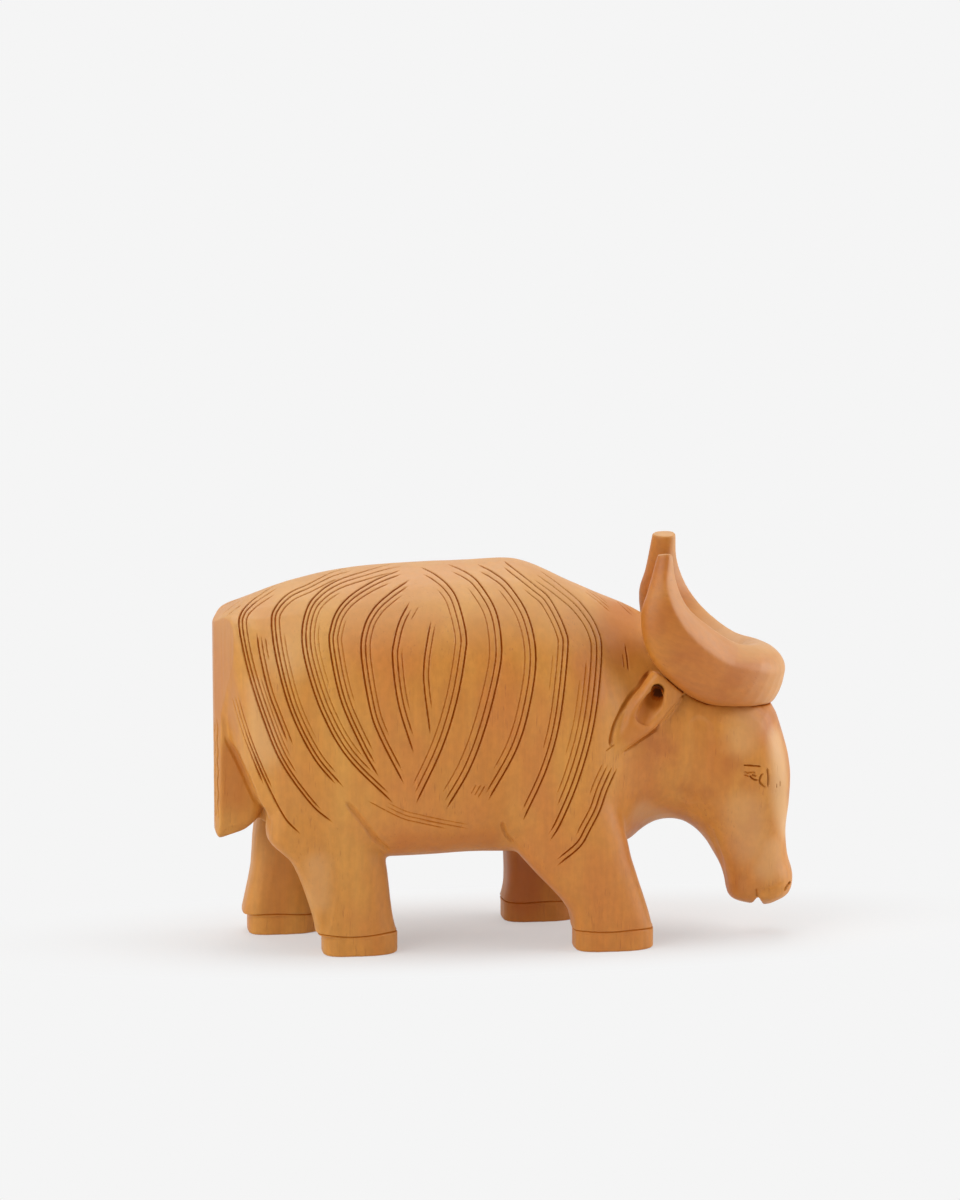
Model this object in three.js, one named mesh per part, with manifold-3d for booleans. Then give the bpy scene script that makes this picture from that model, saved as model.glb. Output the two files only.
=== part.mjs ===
// A carved wooden bull, standing with its head low and turned a little to its right.
// The body, legs, tail, ears and head are one block of wood. The horns are a second block,
// a crescent that sits in a seat on top of the head and is held there by two wooden pegs.
// Millimetres. +X runs towards the head, +Y to the bull's left, +Z up.
import * as THREE from "three";
import { mergeVertices } from "three/addons/utils/BufferGeometryUtils.js";
import Module from "manifold-3d";

const wasm = await Module();
wasm.setup();

// Driving dimensions
const RUMP_X = -115; // flat back of the block
const WITHERS_X = 4; // highest place of the back
const WITHERS_Z = 153;
const RUMP_Z = 129; // top corner of the flat back
const BELLY_Z = 38; // clear height under the belly
const RUMP_FLAT = 4.5; // half width of the upright strip down the middle of the back
const RUMP_SLANT = THREE.MathUtils.degToRad(17); // the facets beside it turn forwards by this much
const RUMP_HALF = 25; // half width of the back, where its two facets meet the flanks
const HAUNCH_HALF = 37; // half widths of the body
const BARREL_HALF = 43;
const SHOULDER_HALF = 42;
const NECK_HALF = 27;

const BROW_X = 108; // front of the head just under the horns
const BROW_Z = 95;
const HEAD_HALF = 24;
const MUZZLE_HALF = 16;
const MUZZLE_Z = 13.6; // height of the lips above the ground
const CHEST_X = 51.6; // where the throat starts, between the forelegs
const HEAD_TURN = THREE.MathUtils.degToRad(-11); // to the bull's right
const TURN_START_X = 30; // the neck bends between these two places
const TURN_END_X = 60;
const MOUTH_WIDTH = 5;
const MOUTH_DEPTH = 5.2;
const MOUTH_X = BROW_X - 4.6;

const HOOF_HEIGHT = 8;
const HOOF_STEP = 0.6; // the hoof is cut back under the leg's sides by this much
const HIND_HEEL = 2.4; // and this much behind
const FORE_HEEL = 0.5;
const HOOF_TOE = 0.4; // and it stands this far out in front
const LEG_HALF = 11; // half width of a leg at its foot
const HIND_STANCE = 32; // outer side of the feet from the middle plane
const FORE_STANCE = 39;
const LEG_RISE = 42; // how far a leg runs up inside the body
const HAUNCH_INSET = 0.2; // outer side of a leg inside the flank at the hip
const SHOULDER_INSET = 0.6; // and at the shoulder
const RIGHT_HIND_TOE = RUMP_X + 69.8; // front of each foot
const LEFT_HIND_TOE = RUMP_X + 43.6;
const RIGHT_FORE_TOE = CHEST_X + 4.6;
const LEFT_FORE_TOE = CHEST_X - 15.4;
const HIND_FOOT = 32; // length of a foot
const FORE_FOOT = 32.2;
const TAIL_HALF = 10;
const TAIL_TIP_Z = 43.8;

const EAR_THICKNESS = 9;
const EAR_PROUD = 3; // how far its base stands out from the neck
const EAR_SPLAY = 8.5; // how much further out its tip lies
const EAR_LEAN = THREE.MathUtils.degToRad(55); // an ear's length from upright
const EAR_HOLLOW = new THREE.Vector3(9.5, 4.4, 3); // half sizes of the scoop
const EAR_HOLLOW_X = BROW_X - 48; // its middle
const EAR_HOLLOW_Z = BROW_Z + 3;
const EAR_HOLLOW_TILT = THREE.MathUtils.degToRad(14); // its upper end lies deeper

const SEAT_X = 98; // middle of the horn seat
const SEAT_Z = 96;
const SEAT_TILT = THREE.MathUtils.degToRad(4); // falls to the front
const HORN_RISE = 63.6; // left tip above the seat
const RIGHT_HORN_DROP = 3.2; // how much lower the right tip is
const HORN_WIDEST = 0.36; // share of the way from a horn's ridge to its lower edge where it is thickest
const JOINT_GAP = 0.3;
const PEG_DIAMETER = 6;
const PEG_SPREAD = 17; // between the two pegs
const PEG_IN_HORN = 10;
const PEG_IN_HEAD = 16;

const WOOD_COLOUR = 0xc98b4e;
const HORN_COLOUR = 0xcb9056;
const PEG_COLOUR = 0xb98a55;

const point = (x, y, z) => new THREE.Vector3(x, y, z);

// Closed solid from a geometry, whose shared vertices are merged first.
function solidOf(geometry) {
  const bare = new THREE.BufferGeometry();
  bare.setAttribute("position", geometry.getAttribute("position"));
  bare.setIndex(geometry.getIndex());
  const merged = mergeVertices(bare, 1e-4);
  return new wasm.Manifold(
    new wasm.Mesh({
      numProp: 3,
      vertProperties: new Float32Array(merged.getAttribute("position").array),
      triVerts: new Uint32Array(merged.getIndex().array),
    }),
  );
}

function geometryOf(solid) {
  const { vertProperties, triVerts } = solid.getMesh();
  const geometry = new THREE.BufferGeometry();
  geometry.setAttribute("position", new THREE.BufferAttribute(vertProperties, 3));
  geometry.setIndex(new THREE.BufferAttribute(triVerts, 1));
  geometry.computeVertexNormals();
  return geometry;
}

const joined = (solids) => solids.reduce((sum, solid) => sum.add(solid));

// The neck's turn: everything ahead of it swings round a vertical line at its start.
function turnHead(p) {
  const angle = HEAD_TURN * THREE.MathUtils.smoothstep(p.x, TURN_START_X, TURN_END_X);
  const reach = p.x - TURN_START_X;
  return point(
    TURN_START_X + reach * Math.cos(angle) - p.y * Math.sin(angle),
    reach * Math.sin(angle) + p.y * Math.cos(angle),
    p.z,
  );
}

const stay = (p) => p;

// A form between two rails. Each station has a point on either rail, a half width across
// them, the share of the way from a to b where it is widest, and how square it is at each rail:
// 2 is an ellipse, less is a ridge, more is a rounded box.
function railLoft(stations, { rings, sides, bend = stay }) {
  const along = (pick, kind) => new THREE.CatmullRomCurve3(stations.map(pick), false, kind);
  const railA = along((s) => s.a, "centripetal");
  const railB = along((s) => s.b, "centripetal");
  const sizes = along((s) => point(s.half, s.widest ?? 0.5, 0), "catmullrom");
  const squareness = along((s) => point(s.squareA ?? 2, s.squareB ?? s.squareA ?? 2, 0), "catmullrom");
  const middle = (t) => railA.getPoint(t).lerp(railB.getPoint(t), 0.5);
  const tangent = (t) => middle(Math.min(1, t + 0.01)).sub(middle(Math.max(0, t - 0.01)));

  const positions = [];
  const centres = [];
  for (let ring = 0; ring <= rings; ring++) {
    const t = ring / rings;
    const a = railA.getPoint(t);
    const b = railB.getPoint(t);
    const { x: half, y: widest } = sizes.getPoint(t);
    const square = squareness.getPoint(t);
    const centre = a.clone().lerp(b, widest);
    const across = tangent(t).cross(a.clone().sub(b)).normalize();
    centres.push(bend(centre));
    for (let side = 0; side < sides; side++) {
      const angle = (2 * Math.PI * side) / sides;
      const power = 2 / (Math.cos(angle) > 0 ? square.x : square.y);
      const reach = Math.abs(Math.cos(angle)) ** power;
      const spread = Math.sign(Math.sin(angle)) * Math.abs(Math.sin(angle)) ** power;
      const rail = Math.cos(angle) > 0 ? a : b;
      const place = centre.clone().lerp(rail, reach).addScaledVector(across, half * spread);
      positions.push(bend(place));
    }
  }

  const index = [];
  for (let ring = 0; ring < rings; ring++)
    for (let side = 0; side < sides; side++) {
      const next = (side + 1) % sides;
      const low = ring * sides;
      const high = low + sides;
      index.push(low + side, high + side, high + next, low + side, high + next, low + next);
    }
  const firstCap = positions.push(centres[0]) - 1;
  const lastCap = positions.push(centres[rings]) - 1;
  for (let side = 0; side < sides; side++) {
    const next = (side + 1) % sides;
    index.push(firstCap, side, next);
    index.push(lastCap, rings * sides + next, rings * sides + side);
  }
  const geometry = new THREE.BufferGeometry().setFromPoints(positions).setIndex(index);
  const solid = solidOf(geometry);
  if (solid.volume() > 0) return solid;
  geometry.setIndex(index.reverse());
  return solidOf(geometry);
}

// Trunk, neck and head, from the flat back to the lips. The back rail follows the top line
// and the face, and the under rail the belly, throat and jaw.
function trunk() {
  const outline = [
    // back x, back z, under x, under z, half width, widest, square at the back, square below
    [RUMP_X - 3, RUMP_Z - 3.5, RUMP_X - 3, RUMP_Z - 45, RUMP_HALF - 4.5, 0.1, 3, 1.3],
    [RUMP_X + 2.6, RUMP_Z + 3.6, RUMP_X + 2.2, RUMP_Z - 51, RUMP_HALF - 2, 0.1, 3, 1.3],
    [RUMP_X + 6.2, RUMP_Z + 6.6, RUMP_X + 5.4, RUMP_Z - 57, RUMP_HALF + 0.4, 0.14, 2.7, 1.5],
    [RUMP_X + 10.4, RUMP_Z + 8.8, RUMP_X + 9, RUMP_Z - 65, RUMP_HALF + 3.3, 0.25, 2.3, 2.8],
    [RUMP_X + 15, RUMP_Z + 10.8, RUMP_X + 13, BELLY_Z + 17, HAUNCH_HALF - 5.4, 0.36, 2, 5],
    [RUMP_X + 31, RUMP_Z + 16.5, RUMP_X + 26, BELLY_Z + 8, HAUNCH_HALF, 0.46, 1.9, 5.6],
    [WITHERS_X - 64, WITHERS_Z - 2.8, WITHERS_X - 66, BELLY_Z, BARREL_HALF - 2.5, 0.46, 1.9, 5],
    [WITHERS_X - 39, WITHERS_Z - 1.1, WITHERS_X - 40, BELLY_Z - 0.5, BARREL_HALF, 0.46, 1.9, 4.6],
    [WITHERS_X - 16, WITHERS_Z - 0.5, WITHERS_X - 16, BELLY_Z + 0.3, BARREL_HALF, 0.46, 1.9, 4.6],
    [WITHERS_X, WITHERS_Z, WITHERS_X + 2, BELLY_Z, SHOULDER_HALF + 1, 0.46, 1.9, 5],
    [WITHERS_X + 8, WITHERS_Z - 2.3, WITHERS_X + 16, BELLY_Z, SHOULDER_HALF, 0.46, 1.9, 5],
    [WITHERS_X + 22, WITHERS_Z - 8.9, CHEST_X - 19, BELLY_Z, SHOULDER_HALF - 1.5, 0.47, 1.9, 4.6],
    [WITHERS_X + 36, WITHERS_Z - 15.1, CHEST_X - 8, BELLY_Z, SHOULDER_HALF - 6, 0.48, 1.9, 3.5],
    [WITHERS_X + 48, WITHERS_Z - 20.2, CHEST_X, BELLY_Z + 1, NECK_HALF + 3, 0.48, 2, 2.6],
    [BROW_X - 44, BROW_Z + 31, CHEST_X + 4.8, BELLY_Z + 4.5, NECK_HALF, 0.47, 2, 2.1],
    [BROW_X - 30, BROW_Z + 22, CHEST_X + 9.9, BELLY_Z + 7.8, NECK_HALF - 1.5, 0.47, 2.1, 2.1],
    [BROW_X - 15, BROW_Z + 12, BROW_X - 41.6, BROW_Z - 47.8, HEAD_HALF + 0.5, 0.46, 2.2, 2.1],
    [BROW_X, BROW_Z, BROW_X - 35.5, BROW_Z - 48.2, HEAD_HALF, 0.45, 2.6, 2.2],
    [BROW_X + 5.3, BROW_Z - 13, BROW_X - 30.5, BROW_Z - 50.8, HEAD_HALF - 0.5, 0.45, 2.9, 2.3],
    [BROW_X + 8.2, BROW_Z - 26, BROW_X - 26.2, BROW_Z - 55, HEAD_HALF - 2, 0.45, 3, 2.4],
    [BROW_X + 8, BROW_Z - 38, BROW_X - 22.5, BROW_Z - 60.6, HEAD_HALF - 4.5, 0.46, 3, 2.5],
    [BROW_X + 6.8, BROW_Z - 52, BROW_X - 19.4, MUZZLE_Z + 15.1, MUZZLE_HALF + 1, 0.48, 2.8, 2.6],
    [BROW_X + 7.6, MUZZLE_Z + 19.4, BROW_X - 17.6, MUZZLE_Z + 9.5, MUZZLE_HALF, 0.48, 2.6, 2.8],
    [BROW_X + 9.8, MUZZLE_Z + 11.4, BROW_X - 16.6, MUZZLE_Z + 4.4, MUZZLE_HALF + 0.2, 0.48, 2.5, 3.2],
    [BROW_X + 8.6, MUZZLE_Z + 4.4, BROW_X - 14.8, MUZZLE_Z + 2.2, MUZZLE_HALF - 1.5, 0.48, 2.4, 3],
    [BROW_X + 3, MUZZLE_Z + 0.3, BROW_X - 8.5, MUZZLE_Z, MUZZLE_HALF - 7, 0.5, 2, 2],
  ];
  const stations = outline.map(([backX, backZ, underX, underZ, half, widest, squareA, squareB]) => ({
    a: point(backX, 0, backZ),
    b: point(underX, 0, underZ),
    half,
    widest,
    squareA,
    squareB,
  }));
  return railLoft(stations, { rings: 75, sides: 36, bend: turnHead });
}

// What is planed off the back: up to an upright strip in the middle and a facet on either side of it.
function rumpWaste() {
  const far = 2 * BARREL_HALF;
  const outerX = RUMP_X + (far - RUMP_FLAT) * Math.tan(RUMP_SLANT);
  const plan = new THREE.Shape();
  plan.moveTo(RUMP_X - far, -far);
  plan.lineTo(outerX, -far);
  plan.lineTo(RUMP_X, -RUMP_FLAT);
  plan.lineTo(RUMP_X, RUMP_FLAT);
  plan.lineTo(outerX, far);
  plan.lineTo(RUMP_X - far, far);
  plan.closePath();
  return solidOf(new THREE.ExtrudeGeometry(plan, { depth: 2 * WITHERS_Z, bevelEnabled: false }));
}

// The hollow between the tail and a haunch. Its front wall leaves the haunch's rear edge, which
// runs from the tail's root down to the hip. side is -1 on the right, 1 on the left.
function haunchHollow(side) {
  const behind = -BARREL_HALF;
  const edge = [
    // distance from the flat back, height above the belly
    [behind, 54],
    [2.4, 53],
    [3.8, 50],
    [8.5, 42],
    [12.7, 32.8],
    [15.1, 26],
    [17.6, 21.5],
    [22, 12],
    [22, 0],
    [behind, 0],
  ];
  const profile = new THREE.Shape(edge.map(([x, z]) => new THREE.Vector2(RUMP_X + x, BELLY_Z + z)));
  const hollow = new THREE.ExtrudeGeometry(profile, { depth: BARREL_HALF, bevelEnabled: false });
  hollow.rotateX(Math.PI / 2);
  const inner = TAIL_HALF / 2;
  hollow.translate(0, side > 0 ? inner + BARREL_HALF : -inner, 0);
  return solidOf(hollow);
}

// One leg with its hoof. Rows run from the foot up: height, front x, back x, half width, the place
// of its middle, outwards from the bull's middle plane, and how square it is in front and behind.
// heel is how far the hoof is cut back behind.
function leg(rows, side, heel) {
  const stationAt = ([z, front, back, half, out, squareA, squareB]) => ({
    a: point(front, side * out, z),
    b: point(back, side * out, z),
    half,
    squareA,
    squareB,
  });
  const [, front, back, half, out, ...square] = rows[0];
  const hoof = [0, HOOF_HEIGHT / 2, HOOF_HEIGHT + HOOF_STEP].map((z) =>
    stationAt([z, front + HOOF_TOE, back + heel, half - HOOF_STEP, out, ...square]),
  );
  const shank = railLoft(rows.map(stationAt), { rings: 2 * (rows.length - 1), sides: 24 });
  return shank.add(railLoft(hoof, { rings: 2, sides: 24 }));
}

// The right legs step forward and the left legs stand straight. At the hip and the shoulder a leg's
// outer side lies flush with the flank.
function legs() {
  const ankle = HOOF_HEIGHT;
  const top = BELLY_Z + LEG_RISE;
  const hindOut = HIND_STANCE - LEG_HALF;
  const foreOut = FORE_STANCE - LEG_HALF;
  const haunchOut = HAUNCH_HALF - HAUNCH_INSET - LEG_HALF;
  const shoulderOut = SHOULDER_HALF - SHOULDER_INSET - LEG_HALF;
  const hip = BELLY_Z + 15;
  const rightHind = [
    [ankle, RIGHT_HIND_TOE, RIGHT_HIND_TOE - HIND_FOOT, LEG_HALF, hindOut, 2.5, 3.6],
    [ankle + 7, RIGHT_HIND_TOE - 1.6, RIGHT_HIND_TOE - HIND_FOOT - 1.4, LEG_HALF + 0.4, hindOut, 2.5, 3.6],
    [ankle + 19, RUMP_X + 66.7, RUMP_X + 32.6, LEG_HALF + 1.2, hindOut + 0.2, 2.6, 3.6],
    [BELLY_Z - 5, RUMP_X + 66, RUMP_X + 30.2, LEG_HALF + 1.7, haunchOut - 4.1, 2.7, 3.8],
    [BELLY_Z + 1, RUMP_X + 65, RUMP_X + 27, LEG_HALF + 2.1, haunchOut - 3.7, 2.8, 4],
    [BELLY_Z + 5, RUMP_X + 63, RUMP_X + 22.8, LEG_HALF + 2.4, haunchOut - 3.4, 2.9, 4],
    [BELLY_Z + 9.2, RUMP_X + 61, RUMP_X + 18.7, LEG_HALF + 2.6, haunchOut - 3.1, 3, 4],
    [hip, RUMP_X + 59, RUMP_X + 18.8, LEG_HALF + 2.8, haunchOut - 2.8, 3, 4],
    [top, RUMP_X + 48, RUMP_X + 22, LEG_HALF + 1, haunchOut - 1.6, 2.4, 2.6],
  ];
  const leftHind = [
    [ankle, LEFT_HIND_TOE, LEFT_HIND_TOE - HIND_FOOT, LEG_HALF, hindOut, 2.5, 3.6],
    [ankle + 7, LEFT_HIND_TOE + 0.5, LEFT_HIND_TOE - HIND_FOOT + 1.6, LEG_HALF + 0.4, hindOut, 2.5, 3.6],
    [ankle + 19, RUMP_X + 46, RUMP_X + 15.7, LEG_HALF + 1.2, hindOut + 0.2, 2.6, 3.6],
    [BELLY_Z + 1, RUMP_X + 51, RUMP_X + 16.6, LEG_HALF + 2.1, haunchOut - 3.7, 2.8, 3.8],
    [hip, RUMP_X + 54, RUMP_X + 18.6, LEG_HALF + 2.8, haunchOut - 2.8, 3, 4],
    [top, RUMP_X + 48, RUMP_X + 22, LEG_HALF + 1, haunchOut - 1.6, 2.4, 2.6],
  ];
  const rightFore = [
    [ankle, RIGHT_FORE_TOE, RIGHT_FORE_TOE - FORE_FOOT, LEG_HALF, foreOut, 2.4, 3.4],
    [ankle + 7, RIGHT_FORE_TOE - 1.8, RIGHT_FORE_TOE - FORE_FOOT - 1.4, LEG_HALF + 0.3, foreOut, 2.4, 3.4],
    [ankle + 14.5, CHEST_X + 0.4, CHEST_X - 34.4, LEG_HALF + 0.8, foreOut, 2.5, 3.4],
    [BELLY_Z - 9, CHEST_X - 1.8, CHEST_X - 40.6, LEG_HALF + 1.4, foreOut + 0.2, 2.6, 3.4],
    [BELLY_Z - 1.5, CHEST_X - 4.2, CHEST_X - 47.4, LEG_HALF + 1.8, foreOut + 0.3, 2.6, 3.2],
    [BELLY_Z + 6, CHEST_X - 5.8, CHEST_X - 52.8, LEG_HALF + 2, shoulderOut - 2, 2.6, 3],
    [BELLY_Z + 18, CHEST_X - 9, CHEST_X - 55, LEG_HALF + 2.2, shoulderOut - 2.2, 2.4, 2.6],
    [top - 8, CHEST_X - 16, CHEST_X - 53, LEG_HALF + 2, shoulderOut - 2.2, 2.2, 2.3],
    [top + 14, CHEST_X - 29, CHEST_X - 47, LEG_HALF, shoulderOut - 2.2, 2.2, 2.2],
  ];
  const leftFore = [
    [ankle, LEFT_FORE_TOE, LEFT_FORE_TOE - FORE_FOOT, LEG_HALF, foreOut, 2.4, 3.4],
    [ankle + 7, LEFT_FORE_TOE + 0.6, LEFT_FORE_TOE - FORE_FOOT + 1.6, LEG_HALF + 0.3, foreOut, 2.4, 3.4],
    [ankle + 19, CHEST_X - 14, CHEST_X - 46.2, LEG_HALF + 1.2, foreOut, 2.5, 3.2],
    [BELLY_Z + 1.5, CHEST_X - 9, CHEST_X - 46.5, LEG_HALF + 1.9, foreOut + 0.3, 2.6, 3],
    [BELLY_Z + 18, CHEST_X - 10, CHEST_X - 51, LEG_HALF + 2.2, shoulderOut - 2.2, 2.4, 2.6],
    [top - 8, CHEST_X - 16, CHEST_X - 51, LEG_HALF + 2, shoulderOut - 2.2, 2.2, 2.3],
    [top + 14, CHEST_X - 29, CHEST_X - 47, LEG_HALF, shoulderOut - 2.2, 2.2, 2.2],
  ];
  return [
    leg(rightHind, -1, HIND_HEEL),
    leg(leftHind, 1, HIND_HEEL),
    leg(rightFore, -1, FORE_HEEL),
    leg(leftFore, 1, FORE_HEEL),
  ];
}

// The tail is what is left standing between the two hollows. Its back is planed with the rump.
function tail() {
  const rootZ = BELLY_Z + 58;
  const station = (backX, backZ, frontX, frontZ, half) => ({
    a: point(backX, 0, backZ),
    b: point(frontX, 0, frontZ),
    half,
    squareA: 9,
    squareB: 5,
  });
  const fin = railLoft(
    [
      station(RUMP_X - 2, rootZ, RUMP_X + 20, rootZ, TAIL_HALF + 2),
      station(RUMP_X - 2, rootZ - 14, RUMP_X + 20, rootZ - 14, TAIL_HALF + 1.4),
      station(RUMP_X - 2, TAIL_TIP_Z + 15.5, RUMP_X + 20, TAIL_TIP_Z + 18, TAIL_HALF),
      station(RUMP_X - 1, TAIL_TIP_Z + 4, RUMP_X + 17, TAIL_TIP_Z + 8, TAIL_HALF - 1),
      station(RUMP_X + 1.2, TAIL_TIP_Z, RUMP_X + 12, TAIL_TIP_Z + 3.5, TAIL_HALF - 3),
    ],
    { rings: 8, sides: 24 },
  );
  return fin.subtract(rumpWaste());
}

// An ear lies back along the neck, just under the horns. side is -1 on the right, 1 on the left.
function ear(side) {
  const base = NECK_HALF + EAR_PROUD - EAR_THICKNESS / 2;
  const station = (share, rearX, rearZ, frontX, frontZ, half) => ({
    a: point(BROW_X - rearX, side * (base + EAR_SPLAY * share + 2), BROW_Z + rearZ),
    b: point(BROW_X - frontX, side * (base + EAR_SPLAY * share - 2), BROW_Z + frontZ),
    half,
    squareA: 3.4,
    squareB: 2.6,
  });
  return railLoft(
    [
      station(0, 47, 16, 34, 8, EAR_THICKNESS / 2),
      station(0.25, 54.4, 6.6, 41, -2, EAR_THICKNESS / 2),
      station(0.65, 61.9, -3.6, 50.2, -9.6, EAR_THICKNESS / 2 - 0.8),
      station(1, 66, -13, 62.8, -16, 1.6),
    ],
    { rings: 9, sides: 16, bend: turnHead },
  );
}

// The scoop in an ear is deepest at its upper end.
function earHollow(side) {
  const scoop = new THREE.SphereGeometry(1, 16, 10);
  scoop.scale(EAR_HOLLOW.x, EAR_HOLLOW.y, EAR_HOLLOW.z);
  scoop.rotateX(Math.PI / 2);
  scoop.rotateZ(-side * EAR_HOLLOW_TILT);
  scoop.rotateY(-EAR_LEAN);
  const place = turnHead(point(EAR_HOLLOW_X, side * (NECK_HALF + EAR_PROUD), EAR_HOLLOW_Z));
  scoop.translate(place.x, place.y, place.z);
  return solidOf(scoop);
}

// A box, cylinder or wedge that stands on the seat's middle, in the seat's own tilt.
function onSeat(geometry) {
  geometry.rotateY(SEAT_TILT);
  geometry.translate(SEAT_X, 0, SEAT_Z);
  const middle = turnHead(point(SEAT_X, 0, SEAT_Z));
  geometry.translate(-SEAT_X, 0, 0);
  geometry.rotateZ(HEAD_TURN);
  geometry.translate(middle.x, middle.y, 0);
  return solidOf(geometry);
}

// The crescent of the horns, grown by a clearance. It runs from the right tip, round the front
// of the head, to the left tip. Upper and lower rails are offsets from the middle of the seat.
function crescent(grow) {
  const rightRise = HORN_RISE - RIGHT_HORN_DROP;
  const rightTip = [
    // upper x, out, z, lower x, out, z, half thickness, square above, square below
    [-30, 25.5, rightRise, -35.6, 25.5, rightRise, 3.2, 2.2, 2.2],
    [-28.6, 28, rightRise - 9.5, -39.6, 28.5, rightRise - 14.5, 5.4, 1.3, 2.1],
    [-24.2, 29.5, rightRise - 19.6, -42.4, 32, rightRise - 23, 7.2, 1.25, 2.1],
  ];
  const leftTip = [
    [-27.8, 25.5, HORN_RISE, -37, 25.5, HORN_RISE, 4, 2.2, 2.2],
    [-27.2, 28, HORN_RISE - 10, -39.8, 28.5, HORN_RISE - 15.5, 5.6, 1.3, 2.1],
    [-23.4, 29.5, HORN_RISE - 21, -42, 32, HORN_RISE - 24.5, 7.2, 1.25, 2.1],
  ];
  const root = [
    [-16, 26, 33, -38.8, 32.5, 21.5, 8.6, 1.25, 2.2],
    [-4, 17, 24.6, -23, 26.5, 5, 10, 1.3, 2.4],
    [4, 9, 23, -6, 17, -2, 11, 1.6, 2.6],
  ];
  const boss = [6.2, 0, 22.8, 2, 0, -3, 11.4, 1.8, 2.6];
  const station = ([upX, upOut, upZ, lowX, lowOut, lowZ, thick, squareA, squareB], side) => {
    const a = point(SEAT_X + upX, side * upOut, SEAT_Z + upZ);
    const b = point(SEAT_X + lowX, side * lowOut, SEAT_Z + lowZ);
    const outward = a.clone().sub(b).setLength(grow);
    return {
      a: a.add(outward),
      b: b.sub(outward),
      half: thick + grow,
      widest: HORN_WIDEST,
      squareA,
      squareB,
    };
  };
  const stations = [
    ...[...rightTip, ...root].map((row) => station(row, -1)),
    station(boss, 1),
    ...[...leftTip, ...root].map((row) => station(row, 1)).reverse(),
  ];
  return railLoft(stations, { rings: 48, sides: 28, bend: turnHead });
}

// All that lies under the seat, lowered by a clearance.
function underSeat(clearance) {
  const depth = 60;
  const span = 160;
  const block = new THREE.BoxGeometry(span, span, depth);
  block.translate(0, 0, -depth / 2 - clearance);
  return onSeat(block);
}

// A peg standing in the seat, grown by a clearance. side is -1 on the right, 1 on the left.
function peg(side, clearance) {
  const length = PEG_IN_HORN + PEG_IN_HEAD + 2 * clearance;
  const round = new THREE.CylinderGeometry(PEG_DIAMETER / 2 + clearance, PEG_DIAMETER / 2 + clearance, length, 24);
  round.rotateX(Math.PI / 2);
  round.translate(0, (side * PEG_SPREAD) / 2, (PEG_IN_HORN - PEG_IN_HEAD) / 2);
  return onSeat(round);
}

// The mouth is one V cut across the muzzle from below.
function mouthCut() {
  const across = 4 * MUZZLE_HALF;
  const wedge = new THREE.Shape();
  wedge.moveTo(-MOUTH_WIDTH, -MOUTH_DEPTH);
  wedge.lineTo(MOUTH_WIDTH, -MOUTH_DEPTH);
  wedge.lineTo(0, MOUTH_DEPTH);
  wedge.closePath();
  const cut = new THREE.ExtrudeGeometry(wedge, { depth: across, bevelEnabled: false });
  cut.translate(0, 0, -across / 2);
  cut.rotateX(Math.PI / 2);
  cut.rotateZ(HEAD_TURN);
  const place = turnHead(point(MOUTH_X, 0, MUZZLE_Z));
  cut.translate(place.x, place.y, place.z);
  return solidOf(cut);
}

const SIDES = { right: -1, left: 1 };
const bothSides = Object.values(SIDES);
const pegHoles = joined(bothSides.map((side) => peg(side, JOINT_GAP)));

const planedTrunk = trunk().subtract(rumpWaste()).subtract(joined(bothSides.map(haunchHollow)));
const body = joined([planedTrunk, ...legs(), tail(), ...bothSides.map(ear)])
  .subtract(joined(bothSides.map(earHollow)))
  .subtract(crescent(JOINT_GAP).subtract(underSeat(JOINT_GAP)))
  .subtract(pegHoles)
  .subtract(mouthCut());
const horns = crescent(0).subtract(underSeat(0)).subtract(pegHoles);

function wooden(name, solid, color) {
  const material = new THREE.MeshStandardMaterial({ color, roughness: 0.55, metalness: 0 });
  const mesh = new THREE.Mesh(geometryOf(solid), material);
  mesh.name = name;
  return mesh;
}

const carving = new THREE.Group();
carving.add(wooden("carved_body", body, WOOD_COLOUR));
carving.add(wooden("horn_crescent", horns, HORN_COLOUR));
for (const [name, side] of Object.entries(SIDES))
  carving.add(wooden(`horn_peg_${name}`, peg(side, 0), PEG_COLOUR));

// The origin is on the ground, under the middle of the bull's box.
const box = new THREE.Box3().setFromObject(carving);
const middle = box.getCenter(new THREE.Vector3());
carving.position.set(-middle.x, -middle.y, -box.min.z);

const bull = new THREE.Group();
bull.add(carving);

export default bull;
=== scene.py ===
import bpy
import numpy as np
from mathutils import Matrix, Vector, kdtree
from mathutils.bvhtree import BVHTree


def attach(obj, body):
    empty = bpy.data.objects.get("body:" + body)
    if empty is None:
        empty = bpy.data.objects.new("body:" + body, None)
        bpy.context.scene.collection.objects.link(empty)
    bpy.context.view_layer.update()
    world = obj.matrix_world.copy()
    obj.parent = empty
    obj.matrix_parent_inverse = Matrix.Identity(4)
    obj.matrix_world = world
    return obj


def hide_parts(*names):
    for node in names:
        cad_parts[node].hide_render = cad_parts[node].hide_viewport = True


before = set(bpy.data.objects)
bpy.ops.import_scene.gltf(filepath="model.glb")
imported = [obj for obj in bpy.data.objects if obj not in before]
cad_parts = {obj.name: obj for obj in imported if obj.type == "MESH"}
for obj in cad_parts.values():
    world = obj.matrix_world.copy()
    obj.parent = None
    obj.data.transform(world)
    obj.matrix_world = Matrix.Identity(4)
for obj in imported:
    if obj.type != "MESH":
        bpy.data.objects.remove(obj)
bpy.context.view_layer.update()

bpy.ops.object.select_all(action="DESELECT")
scene = bpy.context.scene
scene.view_settings.view_transform = "Standard"

# Camera
# It looks at the bull's right side from a little behind and above, with a long lens,
# as the photograph was taken. Its frame is the photograph's.
FRAME_WIDTH = 960
FRAME_HEIGHT = 1200
FOCAL_PIXELS = 3125
SENSOR = 36
EYE = Vector((-0.19369, -1.22059, 0.28861))
AIM = Vector((-0.00956, 0.00087, 0.13599))

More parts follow.
